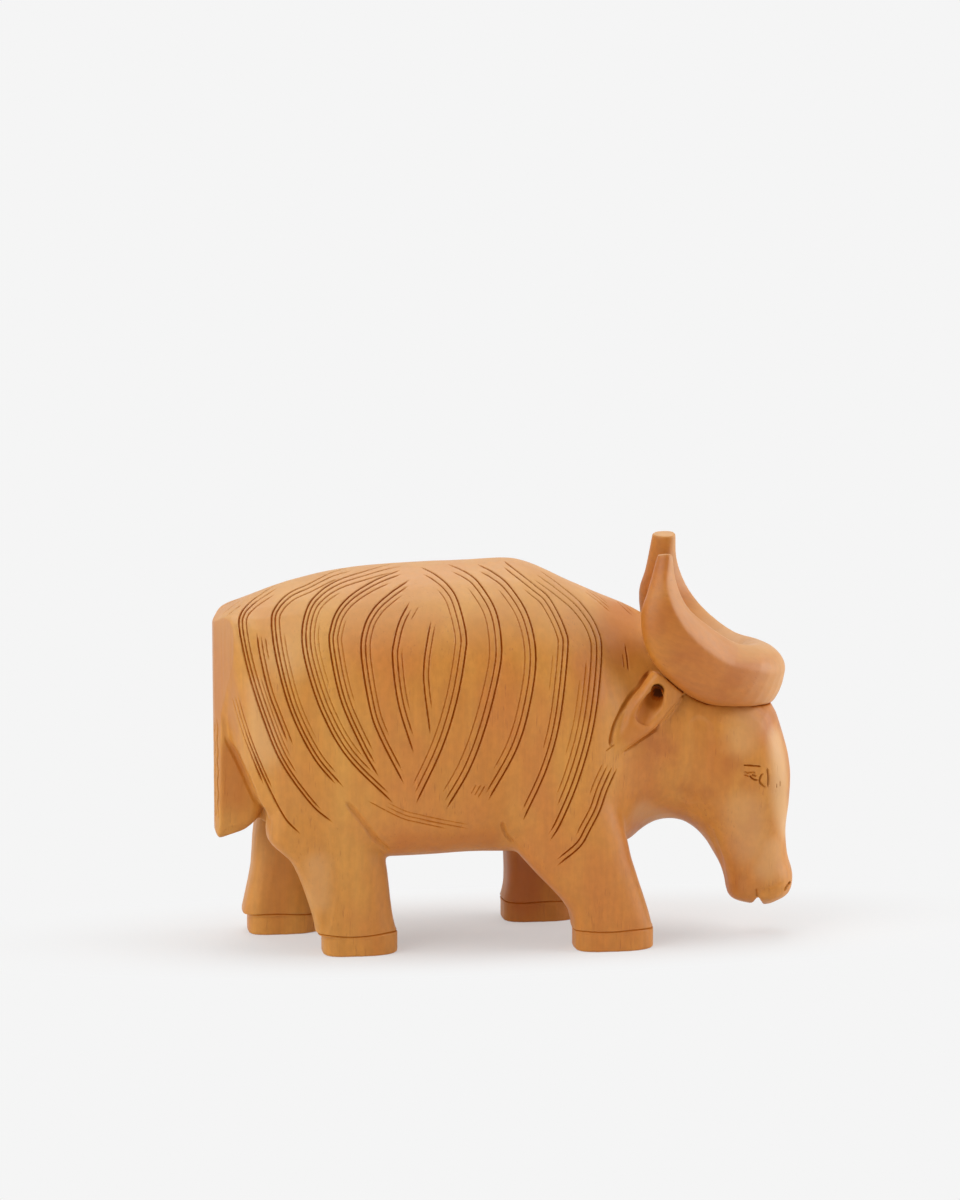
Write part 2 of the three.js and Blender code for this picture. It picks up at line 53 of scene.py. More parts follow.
camera_data = bpy.data.cameras.new("photographer")
camera_data.sensor_width = SENSOR
camera_data.lens = SENSOR * FOCAL_PIXELS / FRAME_HEIGHT
camera = bpy.data.objects.new("photographer", camera_data)
camera.location = EYE
camera.rotation_mode = "QUATERNION"
camera.rotation_quaternion = (AIM - EYE).to_track_quat("-Z", "Y")
scene.collection.objects.link(camera)
scene.camera = camera


def sight(pixel):
    """Direction from the eye through a pixel of the photograph."""
    across = (pixel[0] - FRAME_WIDTH / 2) / FOCAL_PIXELS
    up = (FRAME_HEIGHT / 2 - pixel[1]) / FOCAL_PIXELS
    return camera.rotation_quaternion @ Vector((across, up, -1))


# Carved body
# Trunk, legs, tail, ears and head are one block of pale honey-coloured wood, roughed out, sanded
# smooth and then cut with a fine veiner: the coat is bundles of curved grooves, and the eye,
# nostrils, mouth and ear holes are single gouge strokes. The cuts are dark where the finish has settled
# in them; the creases, the nostrils, the ear holes and the ear's undercut are darkened with painted shade.
WELD = 1e-6
SANDING_VOXEL = 0.0005
BODY_VOXEL = 0.00034
BODY_FACES = 195000
MIDDLE_Y = 0.00087
SANDING_PASSES = 46
FLANK_PASSES = 102
SMOOTHING = 0.5
GROUP_STEPS = 16


def copied(node, name):
    """A welded copy of a CAD node's mesh, selected by itself."""
    piece = bpy.data.objects.new(name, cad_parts[node].data.copy())
    scene.collection.objects.link(piece)
    bpy.ops.object.select_all(action="DESELECT")
    bpy.context.view_layer.objects.active = piece
    piece.select_set(True)
    piece.data.materials.clear()
    bpy.ops.object.mode_set(mode="EDIT")
    bpy.ops.mesh.select_all(action="SELECT")
    bpy.ops.mesh.remove_doubles(threshold=WELD)
    bpy.ops.object.mode_set(mode="OBJECT")
    return piece


def worked(piece, kind, **settings):
    """Adds one modifier to the piece and applies it."""
    modifier = piece.modifiers.new(kind.lower(), kind)
    for key, value in settings.items():
        setattr(modifier, key, value)
    bpy.context.view_layer.objects.active = piece
    bpy.ops.object.modifier_apply(modifier=modifier.name)


def places(piece):
    """The piece's points as rows of x, y, z."""
    rows = np.empty(len(piece.data.vertices) * 3)
    piece.data.vertices.foreach_get("co", rows)
    return rows.reshape(-1, 3)


def facings(piece):
    """The piece's point normals as rows."""
    rows = np.empty(len(piece.data.vertices) * 3)
    piece.data.vertex_normals.foreach_get("vector", rows)
    return rows.reshape(-1, 3)


def move_points(piece, rows):
    """Puts the piece's points at the rows' places."""
    piece.data.vertices.foreach_set("co", rows.ravel())
    piece.data.update()


def fade(value, start, end):
    """Smooth step from 0 at start to 1 at end."""
    share = np.clip((value - start) / (end - start), 0, 1)
    return share * share * (3 - 2 * share)


def weigh(piece, name, weights):
    """Stores a weight from 0 to 1 for each point in a vertex group, in even steps."""
    group = piece.vertex_groups.new(name=name)
    steps = np.rint(weights * GROUP_STEPS).astype(int)
    for step in range(1, GROUP_STEPS + 1):
        group.add(np.flatnonzero(steps == step).tolist(), step / GROUP_STEPS, "REPLACE")


def rub(piece, shares, passes):
    """Draws the points that have a share towards the middle of their neighbours, over and over."""
    edges = np.empty(len(piece.data.edges) * 2, int)
    piece.data.edges.foreach_get("vertices", edges)
    edges = edges.reshape(-1, 2)
    edges = edges[(shares[edges] > 0).any(axis=1)]
    picked, ends = np.unique(edges, return_inverse=True)
    one, other = ends.reshape(-1, 2).T
    rows = places(piece)
    local = rows[picked]
    pull = SMOOTHING * shares[picked] / np.bincount(ends.ravel())
    for _ in range(passes):
        drift = local[other] - local[one]
        local += pull[:, None] * np.column_stack([
            np.bincount(one, axis, len(picked)) - np.bincount(other, axis, len(picked)) for axis in drift.T
        ])
    rows[picked] = local
    move_points(piece, rows)


body = copied("carved_body", "bull_body")
worked(body, "REMESH", mode="VOXEL", voxel_size=SANDING_VOXEL)

# Crisp places are sanded less: hooves, muzzle, ears, the horn seat, the rump edges and the tail.
# Each has its place, the share of the sanding that it gets, and the distance over which that ends.
HOOF_TOP = 0.0085
HOOF_SHARE = 0.12
HOOF_EASE = 0.004
EAR_PLACE = np.array([[0.058, -0.037, 0.095], [0.066, 0.0215, 0.095]])
EAR_REACH = 0.023
EAR_SHARE = 0.2
EAR_EASE = 0.008
MUZZLE_X = 0.083
MUZZLE_Z = 0.03
MUZZLE_SHARE = 0.25
MUZZLE_EASE = 0.008
MOUTH_PLACE = np.array([0.1012, -0.0126, 0.0125])
MOUTH_REACH = 0.007
MOUTH_SHARE = 0.0
MOUTH_EASE = 0.004
SEAT_X = 0.074
SEAT_Z = 0.089
SEAT_SHARE = 0.12
SEAT_EASE = 0.004
RUMP_X = -0.088
RUMP_SHARE = 0.16
RUMP_EASE = 0.012
TAIL_X = -0.104
TAIL_Y = 0.013
TAIL_SHARE = 0.2
TAIL_EASE = 0.004

rows = places(body)
sanded = HOOF_SHARE + (1 - HOOF_SHARE) * fade(rows[:, 2], HOOF_TOP, HOOF_TOP + HOOF_EASE)


def spare(share, distance, ease):
    """The sanding with a place spared: its share up to a distance of 0, then easing to all of it."""
    return np.minimum(sanded, share + (1 - share) * fade(distance, 0, ease))


for ear in EAR_PLACE:
    sanded = spare(EAR_SHARE, np.linalg.norm(rows - ear, axis=1) - EAR_REACH, EAR_EASE)
sanded = spare(MUZZLE_SHARE, np.maximum(MUZZLE_X - rows[:, 0], rows[:, 2] - MUZZLE_Z), MUZZLE_EASE)
mouth_distance = np.linalg.norm((rows - MOUTH_PLACE)[:, [0, 2]], axis=1) - MOUTH_REACH
sanded = spare(MOUTH_SHARE, mouth_distance, MOUTH_EASE)
sanded = spare(SEAT_SHARE, np.maximum(SEAT_X - rows[:, 0], SEAT_Z - rows[:, 2]), SEAT_EASE)
sanded = spare(RUMP_SHARE, rows[:, 0] - RUMP_X, RUMP_EASE)
tail_distance = np.maximum(rows[:, 0] - TAIL_X, np.abs(rows[:, 1] - MIDDLE_Y) - TAIL_Y)
sanded = spare(TAIL_SHARE, tail_distance, TAIL_EASE)
weigh(body, "sanded", sanded)
worked(body, "SMOOTH", factor=SMOOTHING, iterations=SANDING_PASSES, vertex_group="sanded")

# The broad flanks and the back get a long sanding with a flat block: none before the first place
# of each pair, all of it after the second.
FLANK_REAR_X = (-0.095, -0.075)
FLANK_FRONT_X = (0.055, 0.03)
FLANK_Z = (0.038, 0.05)
broad = fade(rows[:, 0], *FLANK_REAR_X) * fade(rows[:, 0], *FLANK_FRONT_X) * fade(rows[:, 2], *FLANK_Z)
weigh(body, "broad", broad)
worked(body, "SMOOTH", factor=SMOOTHING, iterations=FLANK_PASSES, vertex_group="broad")

# The scoop of each ear is rubbed out to a soft trough, and the hand leaves a faint unevenness all over.
SCOOP_PLACE = np.array([[0.0518, -0.0345, 0.0972], [0.064, 0.0255, 0.0972]])
SCOOP_REACH = 0.0105
SCOOP_INNER = 0.0063
SCOOP_PASSES = 180
FINE_PASSES = 6
UNEVEN_LENGTH = 0.02
UNEVEN_HEIGHT = 0.0005
rows = places(body)
scoop_distance = np.min([np.linalg.norm(rows - scoop, axis=1) for scoop in SCOOP_PLACE], axis=0)
rub(body, fade(scoop_distance, SCOOP_REACH, SCOOP_INNER), SCOOP_PASSES)
uneven = bpy.data.textures.new("uneven", "CLOUDS")
uneven.noise_scale = UNEVEN_LENGTH
worked(body, "DISPLACE", texture=uneven, strength=UNEVEN_HEIGHT, vertex_group="sanded")
body.vertex_groups.clear()
worked(body, "REMESH", mode="VOXEL", voxel_size=BODY_VOXEL)
worked(body, "SMOOTH", factor=SMOOTHING, iterations=FINE_PASSES)

# Strokes of the veiner and gouges, read in the photograph's pixels from their dark lines. A bundle
# is the path of its leading cut and, for each cut, its distance from that path, where on it the
# cut starts and ends, and its strength. Distances are to the right of a path drawn downwards.
HAIR_WIDTH = 0.00056
HAIR_DEPTH = 0.00065
HAIR_TAPER = 0.005
HAIR_LEAST_WIDTH = 0.55
HAIR_LEAST_STAIN = 0.35
STROKE_STEP = 0.8

HAIR = {
    "rump_edge": ([(240, 601), (231, 607), (223, 614)], [(0, 0, 1, 0.8), (4, 0.1, 0.9, 0.6)]),
    "rump": (
        [(276, 584.5), (264, 592), (250, 602), (241, 613), (239.5, 628), (247, 668), (262, 716), (281, 762),
         (311, 804), (333, 823)],
        [(0, 0, 1, 1), (3.5, 0, 0.93, 0.8), (7.5, 0.02, 0.78, 0.6), (11, 0.4, 0.72, 0.4)],
    ),
    "rump_short": (
        [(257, 633), (260, 655), (268, 690), (277, 715), (290, 748)],
        [(0, 0, 0.95, 0.85), (4, 0.02, 1, 0.6), (8, 0.05, 0.25, 0.5)],
    ),
    "croup": (
        [(350, 567), (330, 573), (308, 584), (289, 593), (276, 606), (271.5, 622), (277, 662), (291, 712),
         (314, 758), (341, 790)],
        [(0, 0, 0.97, 1), (3.7, 0, 1, 0.85), (8, 0.05, 0.95, 0.6), (12, 0.4, 0.8, 0.4)],
    ),
    "loin": (
        [(401, 562), (384, 565.5), (365, 571), (338, 580), (319, 592), (307, 608), (302, 635), (307, 668),
         (323, 715), (348, 758), (393, 803)],
        [(0, 0, 1, 1), (4, 0, 0.97, 0.8), (8.3, 0.04, 0.9, 0.65), (12.5, 0.2, 0.85, 0.45),
         (16.5, 0.35, 0.6, 0.3)],
    ),
    "flank": (
        [(400, 570), (375, 580), (352, 594), (338, 609), (331, 627), (330, 648), (341, 700),
         (362, 748), (379, 777)],
        [(0, 0, 1, 1), (4, 0, 0.95, 0.8), (8.5, 0.05, 0.9, 0.6), (12.5, 0.3, 0.7, 0.4)],
    ),
    "rib_rear": (
        [(409, 580), (390, 593), (374, 608), (364, 628), (361.5, 655), (370, 708), (380, 737),
         (404, 784)],
        [(0, 0, 1, 1), (4.5, 0.02, 0.95, 0.75), (9, 0.06, 0.8, 0.55)],
    ),
    "rib_middle": (
        [(409.5, 602), (400, 620), (394.5, 640), (392.8, 660), (398.8, 705), (414, 754)],
        [(0, 0, 1, 0.95), (5, 0.03, 0.9, 0.75), (10, 0, 0.1, 0.4), (9.5, 0.3, 0.75, 0.5)],
    ),
    "rib_crown": (
        [(431, 621), (427.5, 640), (424.4, 662), (424.4, 686), (430.6, 735.6)],
        [(0, 0, 1, 0.9), (4.8, 0.02, 0.8, 0.6)],
    ),
    "haunch": (
        [(232, 697), (239, 722), (248, 748), (264, 785), (282, 819), (299, 837)],
        [(0, 0, 0.6, 0.85), (3, 0, 1, 0.9), (6, 0, 0.65, 0.65)],
    ),
    "rib_front": (
        [(421, 567), (435, 574), (448.8, 585.6), (458, 601), (466, 632.5), (465.4, 653.8),
         (456.9, 701), (441.9, 748.8), (416, 804)],
        [(0, 0, 1, 1), (-5.5, 0.02, 0.97, 0.7), (-11, 0.1, 0.95, 0.5)],
    ),
    "girth": (
        [(448, 564), (466, 572), (480, 583.8), (496, 611), (501.6, 645), (498.8, 675), (486, 726),
         (469.4, 770), (446, 810)],
        [(0, 0, 1, 1), (-5.5, 0.02, 0.98, 0.75), (-12, 0.12, 0.96, 0.5)],
    ),
    "elbow": (
        [(477.5, 564), (493.8, 572.5), (510, 586), (528, 615), (536, 653.8), (531, 700),
         (516.9, 748.8), (488, 801)],
        [(0, 0, 1, 1), (-5.5, 0.02, 0.98, 0.75), (-11, 0.12, 0.9, 0.5)],
    ),
    "elbow_nicks": (
        [(485, 786), (478, 798)],
        [(0, 0, 1, 0.5), (-4, 0.1, 1, 0.45), (-8, 0.3, 1, 0.4)],
    ),
    "blade": (
        [(504.4, 561), (535, 585), (550.6, 599.4), (565.6, 629.4), (568, 652), (560, 721),
         (546.4, 770), (523, 821)],
        [(0, 0, 1, 1), (-5, 0.01, 0.97, 0.8), (-10, 0.1, 0.75, 0.55), (-15, 0.4, 0.55, 0.3)],
    ),
    "shoulder": (
        [(540, 570.6), (560, 585), (582, 604), (598, 629), (602, 657), (594.5, 723), (579.5, 778.6),
         (561, 823), (550, 841)],
        [(0, 0, 1, 1), (-5, 0, 0.98, 0.9), (-10.5, 0, 0.88, 0.7), (-15.5, 0.38, 0.85, 0.5),
         (-20.5, 0.45, 0.72, 0.35)],
    ),
    "foreleg": (
        [(617, 768.6), (607, 791), (600, 811), (590.7, 829), (580, 847), (557, 866)],
        [(0, 0, 1, 1), (-5, 0, 0.97, 0.9), (-10, 0, 0.7, 0.7), (-15, 0, 0.3, 0.5)],
    ),
    "nape": (
        [(584, 588), (598, 598), (613, 611)],
        [(2, 0, 0.8, 0.4), (0, 0.05, 0.9, 0.5), (-2.5, 0.1, 1, 0.5)],
    ),
    "nape_front": ([(616.7, 601), (633, 616)], [(0, 0, 1, 0.5), (2.5, 0, 0.9, 0.4)]),
    "neck": ([(625, 644), (627, 656), (628.7, 672)], [(0, 0, 1, 0.8), (-4, 0.35, 0.85, 0.5)]),
    "belly": (
        [(366, 800), (400, 817.5), (420, 823), (448, 829)],
        [(0, 0, 1, 0.45), (4, 0.2, 1, 0.4), (8, 0.2, 1, 0.35)],
    ),
    "belly_front": ([(421, 820), (470, 829)], [(0, 0, 1, 0.4), (4, 0, 1, 0.3)]),
}

# Single strokes: the path in pixels, then half width, depth and darkness.
HEAD_STROKES = {
    "upper_lid": ([(744, 765.4), (750, 765.6), (756, 766.1), (761, 766.5)], 0.0004, 0.0007, 1.2),
    "eye_fork": ([(745.5, 772), (748, 773.6)], 0.0004, 0.0005, 0.5),
    "eye_top": ([(747.5, 773), (751.5, 772.4), (755.5, 772.5)], 0.0004, 0.0005, 0.5),
    "eye_tick": ([(745.3, 775.3), (748.5, 776.2)], 0.0004, 0.0005, 0.5),
    "eyeball": ([(750.2, 776), (752, 778.2), (754.5, 779.8), (758, 780.6)], 0.0005, 0.0008, 0.7),
    "iris": ([(753, 775.2), (756, 776)], 0.0004, 0.0006, 0.6),
    "drop_rear": ([(763.3, 773.5), (761, 776.5), (760, 780), (760.5, 783), (763.5, 786), (766, 787.3)],
                  0.0006, 0.0009, 0.45),
    "drop_front": ([(767.3, 768.5), (768, 772.5), (768.5, 777.5), (768.3, 784), (768, 787)],
                   0.00055, 0.0009, 0.45),
    "nick_rear": ([(776.5, 784), (776.7, 788)], 0.0003, 0.0003, 0.5),
    "nick_front": ([(780, 781.5), (780.2, 787)], 0.0003, 0.0003, 0.5),
    # The nostril's darkness is painted shade in its hole.
    "nostril": ([(790, 883), (787.6, 886), (785.2, 889.2)], 0.001, 0.002, 1.15),
    "lip": ([(756.4, 890), (757.2, 896)], 0.0006, 0.0005, 0.4),
    # The lip fold's darkness is painted shade along the crease.
    "lip_fold": ([(761, 892), (766, 889), (774, 886), (781, 883)], 0.001, 0.0003, 0.15),
    # The ear's rear stroke is darkened as a painted shadow under its raised edge.
    "ear_rear": ([(649, 671.5), (641, 683.5), (630, 696), (621.5, 710), (615, 723.5), (611.5, 736),
                  (610, 746)],
                 0.0011, 0.001, 0.55),
    # The trough below the ear hole is darkened with painted shade.
    "ear_trough": ([(656.5, 692), (652.5, 699), (648.5, 706), (643, 716)], 0.0044, 0.0009, 0.3),
    "ear_lower": ([(657, 729), (643, 738.5), (624, 752.5)], 0.0008, 0.0007, 0.45),
    "ear_front": ([(684, 694), (670, 711.5), (659, 725), (645, 738)], 0.0009, 0.0006, 0.3),
    "ear_nick": ([(606, 751), (614.7, 744.5)], 0.0004, 0.0004, 0.5),
    "jaw": ([(708, 825), (715, 842), (722, 862), (727, 888)], 0.0022, 0.0003, 0.1),
    "cheek": ([(699, 724), (701, 745), (698, 768), (688, 798)], 0.006, 0.0007, 0.02),
}
# The darkness given to the belly, haunch and elbow creases is painted shade in them.
BODY_STROKES = {
    "belly_crease": ([(346, 802), (352, 809), (363, 822.5), (374.6, 838), (388, 851)], 0.0018, 0.0009, 0.25),
    "haunch_hollow": ([(226, 737), (235.5, 754), (243.5, 771), (251.5, 789), (258.5, 805)],
                      0.0018, 0.0005, 0.12),
    "elbow_crease": ([(502, 823), (504, 830), (508, 837), (514, 843)], 0.0012, 0.0008, 0.25),
    "heel_edge": ([(334.5, 868), (332, 894), (327, 920), (324, 932)], 0.0025, 0.0004, 0),
}
HOOF_LINE = 0.0083
HOOF_LINE_WIDTH = 0.00055
HOOF_LINE_DEPTH = 0.00045
HOOF_LINE_STAIN = 0.75
HOOF_LINE_WAVE = 0.0005
HOOF_LINE_PITCH = 0.0045

# The tail's wavy hair, on its back: places across it and the height of each cut's ends.
TAIL_HAIR = [(0.00145, 0.0915, 0.047), (0.00435, 0.09, 0.05), (0.0074, 0.0915, 0.052)]
TAIL_HAIR_WIDTH = 0.0007
TAIL_HAIR_DEPTH = 0.0009
TAIL_HAIR_STAIN = 1
TAIL_WAVE = 0.0004
TAIL_WAVE_LENGTH = 0.0085
TAIL_WAVE_TURN = 400
TAIL_STEP = 0.0003
BEHIND_X = -0.2

# Holes drilled in the ears, filled with painted shade, with a softer painted shade round them: the pixel,
# then reach, depth and darkness. Within a share of the reach they are at their full depth and darkness.
HOLES = [
    ((657.5, 690.5), 0.0032, 0.003, 1.7),
    ((658, 693), 0.0034, 0, 1.7),
    ((654, 700), 0.0065, 0, 0.6),
]
HOLE_FLOOR = 0.3

# A line of sight that jumps by more than the first has left the near surface, and a mirrored place
# that lies further than the second from the body is dropped.
DEPTH_BREAK = 0.003
MIRROR_SLACK = 0.002

surface = BVHTree.FromObject(body, bpy.context.evaluated_depsgraph_get())


def curve_through(points, step):
    """Points at even steps on a smooth line through the given ones."""
    knots = np.array(points, float)
    ends = np.vstack([2 * knots[0] - knots[1], knots, 2 * knots[-1] - knots[-2]])
    pieces = []
    for before, start, end, after in zip(ends, ends[1:], ends[2:], ends[3:]):
        count = max(2, int(np.ceil(np.linalg.norm(end - start) / step)))
        share = np.linspace(0, 1, count, endpoint=False)[:, None]
        pieces.append(
            0.5 * (2 * start + (end - before) * share
                   + (2 * before - 5 * start + 4 * end - after) * share ** 2
                   + (3 * start - before - 3 * end + after) * share ** 3)
        )
    return np.vstack([*pieces, knots[-1:]])


def sideways(line, distance):
    """The line moved to its right by a distance."""
    along = np.gradient(line, axis=0)
    along /= np.linalg.norm(along, axis=1)[:, None]
    return line + distance * np.column_stack([along[:, 1], -along[:, 0]])


def cast(line):
    """The longest unbroken run of places where sight lines meet the body, with the facings there."""
    hits = [surface.ray_cast(EYE, sight(pixel)) for pixel in line]
    hits = [hit for hit in hits if hit[0] is not None]
    spots = np.array([hit[0] for hit in hits])
    faces = np.array([hit[1] for hit in hits])
    breaks = np.flatnonzero(np.linalg.norm(np.diff(spots, axis=0), axis=1) > DEPTH_BREAK) + 1
    runs = np.split(np.arange(len(spots)), breaks)
    longest = max(runs, key=len)
    return spots[longest], faces[longest]


def mirrored(spots, centre, turn):
    """The places on the bull's other side, across an upright plane, laid on the body again."""
    across = np.array([-np.sin(turn), np.cos(turn), 0])
    flipped = spots - 2 * ((spots - centre) @ across)[:, None] * across
    hits = [surface.find_nearest(spot) for spot in flipped]
    hits = [hit for hit in hits if hit[3] < MIRROR_SLACK]
    return np.array([hit[0] for hit in hits]), np.array([hit[1] for hit in hits])


cuts = []
CUT_START = -0.15
CUT_TAPER_SHARE = 0.25
CUT_THIN_END = 0.45
CUT_REACH = 1.35
CUT_FLOOR = 0.75
STROKE_TAPER = 3


def add_cut(spots, faces, width, depth, darkening, taper):
    """Keeps one stroke as samples: place, facing, direction, half width, depth and darkness."""
    if len(spots) < 3:
        return
    along = np.gradient(spots, axis=0)
    lengths = np.linalg.norm(along, axis=1)
    along /= lengths[:, None]
    run = np.cumsum(lengths)
    taper = min(taper, CUT_TAPER_SHARE * run[-1])
    ease = fade(np.minimum(run, run[-1] - run), CUT_START * taper, taper)
    widths = width * (CUT_THIN_END + (1 - CUT_THIN_END) * ease)
    cuts.append(np.column_stack([spots, faces, along, widths, depth * ease, darkening * np.sqrt(ease)]))


HEAD_TURN = np.radians(-11)
HEAD_PIVOT = np.array([0.02905, MIDDLE_Y, 0])
BODY_MIDDLE = np.array([0, MIDDLE_Y, 0])

for path, bundle in HAIR.values():
    lead = curve_through(path, STROKE_STEP)
    for distance, start, end, strength in bundle:
        line = sideways(lead, distance)[int(start * len(lead)): int(np.ceil(end * len(lead)))]
        spots, faces = cast(line)
        near_side = spots[:, 1] < MIDDLE_Y
        spots, faces = spots[near_side], faces[near_side]
        width = HAIR_WIDTH * (HAIR_LEAST_WIDTH + (1 - HAIR_LEAST_WIDTH) * strength)
        depth = HAIR_DEPTH * strength
        darkening = HAIR_LEAST_STAIN + (1 - HAIR_LEAST_STAIN) * strength
        add_cut(spots, faces, width, depth, darkening, HAIR_TAPER)
        add_cut(*mirrored(spots, BODY_MIDDLE, 0), width, depth, darkening, HAIR_TAPER)

for strokes, centre, turn in ((HEAD_STROKES, HEAD_PIVOT, HEAD_TURN), (BODY_STROKES, BODY_MIDDLE, 0)):
    for path, width, depth, darkening in strokes.values():
        spots, faces = cast(curve_through(path, STROKE_STEP / 2))
        add_cut(spots, faces, width, depth, darkening, STROKE_TAPER * width)
        add_cut(*mirrored(spots, centre, turn), width, depth, darkening, STROKE_TAPER * width)

for aside, top, bottom in TAIL_HAIR:
    for side in (-1, 1):
        heights = np.arange(top, bottom, -TAIL_STEP)
        turns = 2 * np.pi * heights / TAIL_WAVE_LENGTH + TAIL_WAVE_TURN * aside
        waves = aside * side + TAIL_WAVE * np.sin(turns)
        hits = [surface.ray_cast((BEHIND_X, MIDDLE_Y + wave, height), (1, 0, 0))
                for wave, height in zip(waves, heights)]
        spots = np.array([hit[0] for hit in hits])
        faces = np.array([hit[1] for hit in hits])
        add_cut(spots, faces, TAIL_HAIR_WIDTH, TAIL_HAIR_DEPTH, TAIL_HAIR_STAIN, HAIR_TAPER)


def mark(piece, name, values):
    """Stores a value for each point under a name, for the material to read."""
    piece.data.attributes.new(name, "FLOAT", "POINT").data.foreach_set("value", values)


def pressed(rows, samples):
    """Depth and darkness of the cuts at each place: a rounded V across every stroke."""
    tree = kdtree.KDTree(len(rows))
    for index, row in enumerate(rows):
        tree.insert(row, index)
    tree.balance()
    touched = []
    touching = []
    for index, sample in enumerate(samples):
        near = tree.find_range(sample[:3], sample[9] * CUT_REACH)
        touched.extend(hit[1] for hit in near)
        touching.extend([index] * len(near))
    touched = np.array(touched)
    stroke = samples[np.array(touching)]
    offset = rows[touched] - stroke[:, :3]
    out = np.sum(offset * stroke[:, 3:6], axis=1)
    along = np.sum(offset * stroke[:, 6:9], axis=1)
    aside = np.sqrt(np.maximum(np.sum(offset ** 2, axis=1) - out ** 2 - along ** 2, 0))
    profile = fade(stroke[:, 9] - aside, 0, CUT_FLOOR * stroke[:, 9])
    depth = np.zeros(len(rows))
    np.maximum.at(depth, touched, profile * stroke[:, 10])
    dark = np.zeros(len(rows))
    np.maximum.at(dark, touched, profile ** 2 * stroke[:, 11])
    return depth, dark


rows = places(body)
depth, dark = pressed(rows, np.vstack(cuts))

for pixel, reach, deep, hole_shade in HOLES:
    spots, faces = cast([pixel])
    for spot in (*spots, *mirrored(spots, HEAD_PIVOT, HEAD_TURN)[0]):
        share = fade(np.linalg.norm(rows - spot, axis=1), reach, HOLE_FLOOR * reach)
        depth = np.maximum(depth, deep * share)
        dark = np.maximum(dark, hole_shade * share)

wave = HOOF_LINE_WAVE * np.sin(rows[:, 0] / HOOF_LINE_PITCH) * np.cos(rows[:, 1] / HOOF_LINE_PITCH)
ring = fade(np.abs(rows[:, 2] - HOOF_LINE - wave), HOOF_LINE_WIDTH, 0)
depth = np.maximum(depth, HOOF_LINE_DEPTH * ring)
dark = np.maximum(dark, HOOF_LINE_STAIN * ring)

# The joint under the horns shows as a dark line, with a fainter painted shadow of the overhanging horns
# below it.
JOINT_REACH = 0.001
JOINT_FULL = 0.0004
JOINT_RISE = 0.0001
JOINT_STAIN = 0.9
JOINT_SHADOW_REACH = 0.0035
JOINT_PAINTED_SHADOW = 0.3
JOINT_X = SEAT_X - 0.015
JOINT_Z = SEAT_Z - 0.01
crescent = BVHTree.FromObject(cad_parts["horn_crescent"], bpy.context.evaluated_depsgraph_get())
near_joint = np.flatnonzero((rows[:, 0] > JOINT_X) & (rows[:, 2] > JOINT_Z))
gap = np.array([crescent.find_nearest(rows[index])[3] for index in near_joint])
joint = fade(gap, JOINT_REACH, JOINT_FULL)
joint_dark_and_shadow = np.maximum(JOINT_STAIN * joint, JOINT_PAINTED_SHADOW * fade(gap, JOINT_SHADOW_REACH, 0))
depth[near_joint] -= JOINT_RISE * joint
dark[near_joint] = np.maximum(dark[near_joint], joint_dark_and_shadow)
move_points(body, rows - facings(body) * depth[:, None])
# The darkening holds the stain of the cuts and the painted shade of the creases, holes and joint.
mark(body, "darkening", dark)

# The planed back is rosier than the flanks.
FACET_FACING = (-0.8, -0.92)
FACET_Z = (0.086, 0.09)
FACET_X = (-0.09, -0.1)
rose = fade(facings(body)[:, 0], *FACET_FACING) * fade(rows[:, 2], *FACET_Z) * fade(rows[:, 0], *FACET_X)
mark(body, "rose", rose)
worked(body, "TRIANGULATE")
worked(body, "DECIMATE", ratio=min(1, BODY_FACES / len(body.data.polygons)))

# Painted light: a paler tone as a painted highlight and sheen on the high places, and a deeper tone as
# painted shade in the sheltered ones: paths in the photograph's pixels, then the reach across them and the
# share.
HIGHLIGHT_PLACES = [
    ([(777, 740), (781, 770), (782, 800), (786, 835)], 0.008, 0.7),
    ([(748, 722), (742, 738)], 0.011, 0.35),
    ([(744, 812), (750, 845)], 0.013, 0.3),
    ([(772, 850), (768, 868)], 0.009, 0.4),
    ([(296, 615), (288, 650)], 0.017, 0.4),
    ([(256, 690), (258, 710)], 0.008, 0.35),
    ([(262, 730), (264, 750)], 0.011, 0.4),
    ([(318, 865), (318, 900)], 0.008, 0.3),
    ([(640, 811), (660, 817)], 0.008, 0.4),
]
# The top of the back gets a painted sheen, paler where the light grazes it.
BACK_SHEEN_Z = (0.116, 0.142)
BACK_SHEEN = 0.5
PAINT_PATH_STEP = 3
PAINT_FULL_SHARE = 0.2
# Painted shade: a deeper tone where shade falls in the sheltered places.
SHADE_PLACES = [
    ([(232, 755), (232, 800)], 0.009, 0.5),
    ([(400, 842), (440, 842), (490, 838)], 0.008, 0.4),
    ([(583, 660), (583, 710)], 0.007, 0.3),
    ([(622, 612), (622, 648)], 0.015, 0.55),
    ([(640, 710), (632, 735)], 0.007, 0.5),
    ([(525, 870), (525, 905)], 0.012, 0.8),
    ([(275, 875), (275, 905)], 0.01, 0.3),
    ([(717, 748), (722, 770)], 0.009, 0.35),
]
rows = places(body)
for name, painted_places in (("painted_highlight", HIGHLIGHT_PLACES), ("deep", SHADE_PLACES)):
    painted_light = BACK_SHEEN * fade(rows[:, 2], *BACK_SHEEN_Z) if name == "painted_highlight" else np.zeros(len(rows))
    for path, reach, share in painted_places:
        spots, faces = cast(curve_through(path, PAINT_PATH_STEP))
        plane = (HEAD_PIVOT, HEAD_TURN) if spots[0, 0] > SEAT_X else (BODY_MIDDLE, 0)
        for spot in (*spots, *mirrored(spots, *plane)[0]):
            near = fade(np.linalg.norm(rows - spot, axis=1), reach, PAINT_FULL_SHARE * reach)
            painted_light = np.maximum(painted_light, share * near)
    mark(body, name, painted_light)

CRISP_ANGLE = np.radians(38)
bpy.ops.object.shade_smooth_by_angle(angle=CRISP_ANGLE)
worked(body, "WEIGHTED_NORMAL", keep_sharp=True)

